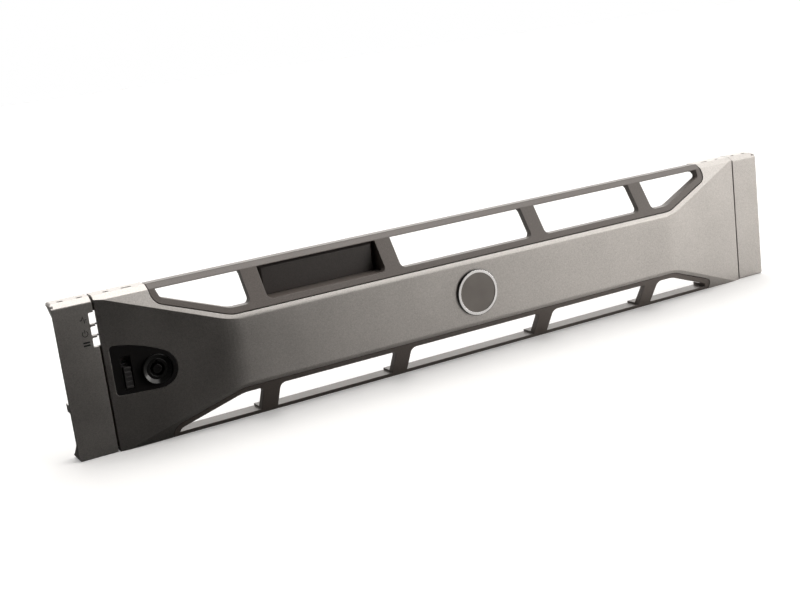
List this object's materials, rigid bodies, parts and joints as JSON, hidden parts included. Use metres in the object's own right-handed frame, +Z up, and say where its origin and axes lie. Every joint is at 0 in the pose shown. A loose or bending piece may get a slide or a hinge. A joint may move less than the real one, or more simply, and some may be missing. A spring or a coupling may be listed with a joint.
{
  "type": "rack server front bezel",
  "caption": "Clip-on front bezel for a two-unit rack enclosure: raised painted band, open windows, round badge, key lock and thumb latch.",
  "frame": {"origin": "middle of the whole part's outline in plan, at the level of its lower edge, on which it stands", "axes": "+X along the width, +Y from the front towards the enclosure, +Z up; the front faces -Y"},
  "size_m": [0.482, 0.034, 0.0845],
  "materials": {
    "painted": "satin metallic silver-grey paint on moulded plastic",
    "frame": "dark warm grey moulded plastic, satin",
    "plate": "dark grey moulded plastic, satin",
    "black": "black moulded plastic, semi-gloss",
    "lock": "glossy black coated die casting",
    "slide": "dark grey moulded plastic, satin",
    "bright": "polished",
    "insert": "dark grey anodised, satin",
    "steel": "zinc plated"
  },
  "bodies": {
    "bezel": {"front_panel": "painted", "inner_frame": "frame", "left_end_cap": "painted", "right_end_cap": "painted", "badge_base": "black", "badge_ring": "bright", "badge_insert": "insert", "badge_push_nuts": "steel", "nameplate": "plate", "lock_escutcheon": "black", "lock_housing": "lock", "lock_washer": "steel", "lock_nut": "steel", "latch_spring": "steel", "latch_cover": "black", "latch_cover_screws": "steel", "hook_bracket": "steel", "hook_bracket_screws": "steel", "panel_screws": "steel"},
    "latch": {"release_slide": "slide", "latch_bar": "steel", "slide_screw": "steel"},
    "lock_core": {"lock_plug": "lock", "lock_cam": "steel", "lock_cam_screw": "steel"}
  },
  "joints": [
    {"name": "release_slide", "type": "slide", "parent": "bezel", "child": "latch", "axis": [0, 0, 1], "range_m": [0, 0.005], "stiffness_N_per_m": 300, "springref_m": -0.003, "deforming": ["latch_spring"]},
    {"name": "lock_turn", "type": "hinge", "parent": "bezel", "child": "lock_core", "pos_m": [-0.194, -0.00005, 0.0405], "axis": [0, -1, 0], "range_deg": [0, 90]}
  ]
}
